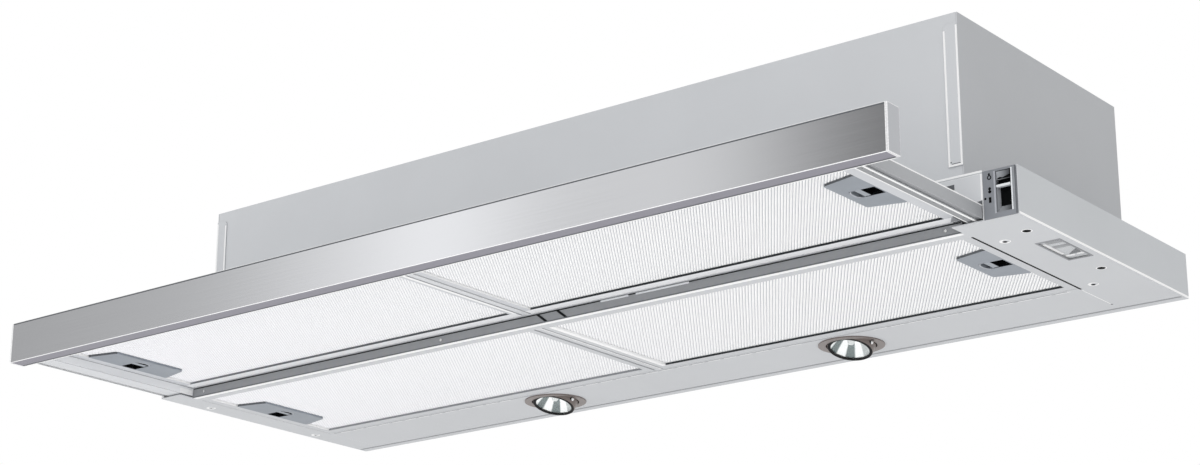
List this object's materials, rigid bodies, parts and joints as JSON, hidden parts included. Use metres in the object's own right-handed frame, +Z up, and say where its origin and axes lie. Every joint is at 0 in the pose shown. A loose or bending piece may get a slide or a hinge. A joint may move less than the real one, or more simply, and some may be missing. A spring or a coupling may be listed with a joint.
{
  "type": "pull out range hood",
  "caption": "Under-cabinet range hood with a pull-out filter drawer, mesh filter cassettes, two swivelling lamps, sliding switches and a top duct outlet.",
  "frame": {"origin": "centre of the four cabinet screw holes, on the top face of the lower body", "axes": "+X to the right as the user faces the hood, +Y to the wall, +Z up"},
  "size_m": [0.898, 0.4543, 0.2081],
  "materials": {
    "casing": "satin grey paint",
    "body": "satin grey paint",
    "panel": "brushed along its length",
    "slides": "satin",
    "crossbar": "satin dark grey",
    "filter": "satin",
    "handles": "satin",
    "controls": "satin",
    "fixings": "bright",
    "lamp_metal": "satin bronze",
    "reflector": "bright",
    "lens": "clear",
    "window": "frosted",
    "mouldings": "matte",
    "blower": "matte",
    "motor": "matte",
    "slide_channels": "galvanised"
  },
  "bodies": {
    "hood": {"casing_shell": "casing", "casing_side_right": "casing", "casing_side_left": "casing", "base_frame": "body", "base_front": "body", "end_plate_right": "body", "end_plate_left": "body", "rear_strip": "body", "filter_crossbar": "crossbar", "crossbar_rivets": "fixings", "rear_divider": "body", "slide_channel_right": "slide_channels", "slide_channel_left": "slide_channels", "plate_screws": "fixings", "window_cover": "window", "control_bezel": "controls", "duct_collar": "mouldings", "blower_housing": "blower", "fan_motor": "motor", "terminal_box": "mouldings", "cable_gland": "mouldings", "lamp_transformer": "mouldings", "lamp_trim_right": "lamp_metal", "lamp_trim_left": "lamp_metal"},
    "drawer": {"front_panel": "panel", "panel_cap_right": "panel", "panel_cap_left": "panel", "drawer_slide_right": "slides", "drawer_slide_left": "slides", "drawer_front_bar": "slides", "drawer_rear_bar": "slides", "drawer_divider": "slides", "drawer_cover": "slides"},
    "lamp_right": {"lamp_head_right": "lamp_metal", "lamp_reflector_right": "reflector", "lamp_lens_right": "lens"},
    "lamp_left": {"lamp_head_left": "lamp_metal", "lamp_reflector_left": "reflector", "lamp_lens_left": "lens"},
    "light_switch": {"light_switch": "controls"},
    "fan_switch": {"fan_switch": "controls"},
    "fan_wheel": {"fan_wheel": "blower"},
    "check_flap_front": {"check_flap_front": "mouldings"},
    "check_flap_rear": {"check_flap_rear": "mouldings"},
    "rear_filter_right": {"rear_filter_frame_right": "filter", "rear_filter_mesh_right": "filter", "rear_filter_handle_right": "handles"},
    "rear_latch_right": {"rear_filter_latch_right": "handles"},
    "rear_filter_left": {"rear_filter_frame_left": "filter", "rear_filter_mesh_left": "filter", "rear_filter_handle_left": "handles"},
    "rear_latch_left": {"rear_filter_latch_left": "handles"},
    "front_filter_right": {"front_filter_frame_right": "filter", "front_filter_mesh_right": "filter", "front_filter_handle_right": "handles"},
    "front_latch_right": {"front_filter_latch_right": "handles"},
    "front_filter_left": {"front_filter_frame_left": "filter", "front_filter_mesh_left": "filter", "front_filter_handle_left": "handles"},
    "front_latch_left": {"front_filter_latch_left": "handles"}
  },
  "joints": [
    {"name": "drawer_pull", "type": "slide", "parent": "hood", "child": "drawer", "axis": [0, -1, 0], "range_m": [-0.1592, 0]},
    {"name": "rear_filter_right_drop", "type": "hinge", "parent": "hood", "child": "rear_filter_right", "pos_m": [-0.01445, 0.01345, -0.03505], "axis": [0, 1, 0], "range_deg": [0, 35]},
    {"name": "rear_latch_right_slide", "type": "slide", "parent": "rear_filter_right", "child": "rear_latch_right", "axis": [-1, 0, 0], "range_m": [0, 0.004], "stiffness_N_per_m": 300},
    {"name": "rear_filter_left_drop", "type": "hinge", "parent": "hood", "child": "rear_filter_left", "pos_m": [-0.02555, 0.01345, -0.03505], "axis": [0, -1, 0], "range_deg": [0, 35]},
    {"name": "rear_latch_left_slide", "type": "slide", "parent": "rear_filter_left", "child": "rear_latch_left", "axis": [1, 0, 0], "range_m": [0, 0.004], "stiffness_N_per_m": 300},
    {"name": "front_filter_right_drop", "type": "hinge", "parent": "drawer", "child": "front_filter_right", "pos_m": [-0.01445, -0.17965, -0.02575], "axis": [0, 1, 0], "range_deg": [0, 35]},
    {"name": "front_latch_right_slide", "type": "slide", "parent": "front_filter_right", "child": "front_latch_right", "axis": [-1, 0, 0], "range_m": [0, 0.004], "stiffness_N_per_m": 300},
    {"name": "front_filter_left_drop", "type": "hinge", "parent": "drawer", "child": "front_filter_left", "pos_m": [-0.02555, -0.17965, -0.02575], "axis": [0, -1, 0], "range_deg": [0, 35]},
    {"name": "front_latch_left_slide", "type": "slide", "parent": "front_filter_left", "child": "front_latch_left", "axis": [1, 0, 0], "range_m": [0, 0.004], "stiffness_N_per_m": 300},
    {"name": "lamp_tilt_right", "type": "hinge", "parent": "hood", "child": "lamp_right", "pos_m": [0.1605, 0.13095, -0.033], "axis": [1, 0, 0], "range_deg": [-10, 16]},
    {"name": "lamp_tilt_left", "type": "hinge", "parent": "hood", "child": "lamp_left", "pos_m": [-0.1645, 0.13095, -0.033], "axis": [1, 0, 0], "range_deg": [-10, 16]},
    {"name": "light_switch_slide", "type": "slide", "parent": "hood", "child": "light_switch", "axis": [0, 0, 1], "range_m": [-0.003, 0]},
    {"name": "fan_switch_slide", "type": "slide", "parent": "hood", "child": "fan_switch", "axis": [0, 0, 1], "range_m": [-0.018, 0]},
    {"name": "fan_spin", "type": "hinge", "parent": "hood", "child": "fan_wheel", "pos_m": [0, 0.043, 0.06], "axis": [1, 0, 0], "continuous": true},
    {"name": "check_flap_front_swing", "type": "hinge", "parent": "hood", "child": "check_flap_front", "pos_m": [0, 0.04, 0.1423], "axis": [-1, 0, 0], "range_deg": [0, 75]},
    {"name": "check_flap_rear_swing", "type": "hinge", "parent": "hood", "child": "check_flap_rear", "pos_m": [0, 0.046, 0.1423], "axis": [1, 0, 0], "range_deg": [0, 75]}
  ]
}
